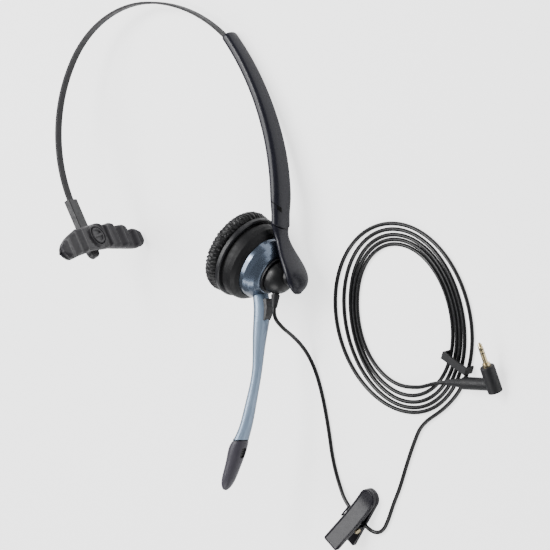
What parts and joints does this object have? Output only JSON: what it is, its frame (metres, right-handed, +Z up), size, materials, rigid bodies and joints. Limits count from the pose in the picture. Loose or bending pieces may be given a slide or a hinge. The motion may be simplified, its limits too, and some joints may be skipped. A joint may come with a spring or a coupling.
{
  "type": "office headset",
  "caption": "One-ear office headset with a spring headband, temple pad, turning ear capsule and microphone boom, its coiled cord, clothing clip and angled jack plug.",
  "frame": {"origin": "centre of the headset's footprint on the table, cord, clip and plug left out", "axes": "+Z up off the table, +Y from the microphone towards the crown of the headband, +X from the temple pad towards the ear capsule"},
  "size_m": [0.2741, 0.2755, 0.0655],
  "materials": {
    "spring_steel": "satin black enamel on spring steel",
    "bare_steel": "plain steel",
    "black_plastic": "matte",
    "gloss_black": "glossy",
    "arm_plastic": "dark slate, satin",
    "metallic_blue_grey": "blue-grey metallic lacquer",
    "tip_plastic": "dark purple-grey, satin",
    "leatherette": "soft black leatherette",
    "speaker_cloth": "thin woven cloth",
    "diaphragm_film": "thin film",
    "black_rubber": "matte rubber",
    "cord_jacket": "smooth soft jacket",
    "gold": "gold-plated"
  },
  "bodies": {
    "yoke": {"yoke_frame": "arm_plastic", "yoke_cover": "arm_plastic", "ball_shell": "gloss_black", "ball_screw": "bare_steel", "cord_strain_relief": "black_rubber", "neck_pin": "bare_steel", "cord_run": "cord_jacket", "cord_coil": "cord_jacket", "coil_tie": "black_rubber", "plug_strain_relief": "black_rubber", "plug_leg": "black_rubber", "plug_body": "black_rubber", "plug_collar": "gold", "pin_sleeve": "gold", "pin_insulator_rear": "black_plastic", "pin_ring": "gold", "pin_insulator_front": "black_plastic", "pin_tip": "gold", "clip_base": "gloss_black", "clip_pin": "gold", "clip_spring": "bare_steel", "clip_eyelet": "black_plastic"},
    "arm": {"arm_inner_cover": "arm_plastic", "arm_outer_shell": "arm_plastic", "detent_spring": "bare_steel"},
    "band": {"spring_band": "spring_steel", "slider_shoe": "black_plastic", "stem": "black_plastic"},
    "temple_pad": {"pad_backing": "black_plastic", "pad_rubber": "black_rubber", "pad_rivet": "black_plastic"},
    "socket": {"ball_socket": "black_plastic"},
    "ear_capsule": {"ear_cushion": "leatherette", "cushion_cloth": "speaker_cloth", "cushion_ring": "black_plastic", "speaker_grille": "black_plastic", "speaker_diaphragm": "diaphragm_film", "speaker_basket": "bare_steel", "speaker_magnet": "bare_steel", "front_shell": "gloss_black", "rear_housing": "metallic_blue_grey", "boom": "metallic_blue_grey", "boom_root_insert": "black_plastic", "boom_tip": "tip_plastic", "mic_capsule": "bare_steel", "mic_grille": "black_plastic"},
    "jaw": {"clip_jaw": "gloss_black"}
  },
  "joints": [
    {"name": "arm_swivel", "type": "hinge", "parent": "yoke", "child": "arm", "pos_m": [0.06489, 0.0091, 0.01592], "axis": [-0.0242, 0.9849, -0.1717], "range_deg": [-15, 15]},
    {"name": "band_slide", "type": "hinge", "parent": "arm", "child": "band", "pos_m": [-0.02252, 0.04058, 0.02267], "axis": [0.1377, 0.1734, 0.9752], "range_deg": [0, 14]},
    {"name": "temple_pad_swivel", "type": "hinge", "parent": "band", "child": "temple_pad", "pos_m": [-0.05762, 0.00133, 0.0346], "axis": [0.8543, 0.4775, -0.2055], "range_deg": [-20, 20]},
    {"name": "capsule_tilt", "type": "hinge", "parent": "yoke", "child": "socket", "pos_m": [0.06351, -0.01602, 0.02059], "axis": [0.1377, 0.1734, 0.9752], "range_deg": [0, 8]},
    {"name": "boom_turn", "type": "hinge", "parent": "socket", "child": "ear_capsule", "pos_m": [0.03915, -0.00331, 0.02176], "axis": [-0.8857, 0.4624, 0.0428], "range_deg": [-5, 115]},
    {"name": "clip_jaw_hinge", "type": "hinge", "parent": "yoke", "child": "jaw", "pos_m": [0.08109, -0.14411, 0.0046], "axis": [0.7465, -0.6653, 0], "range_deg": [0, 25], "stiffness_Nm_per_rad": 0.08, "springref_deg": -17.19}
  ]
}
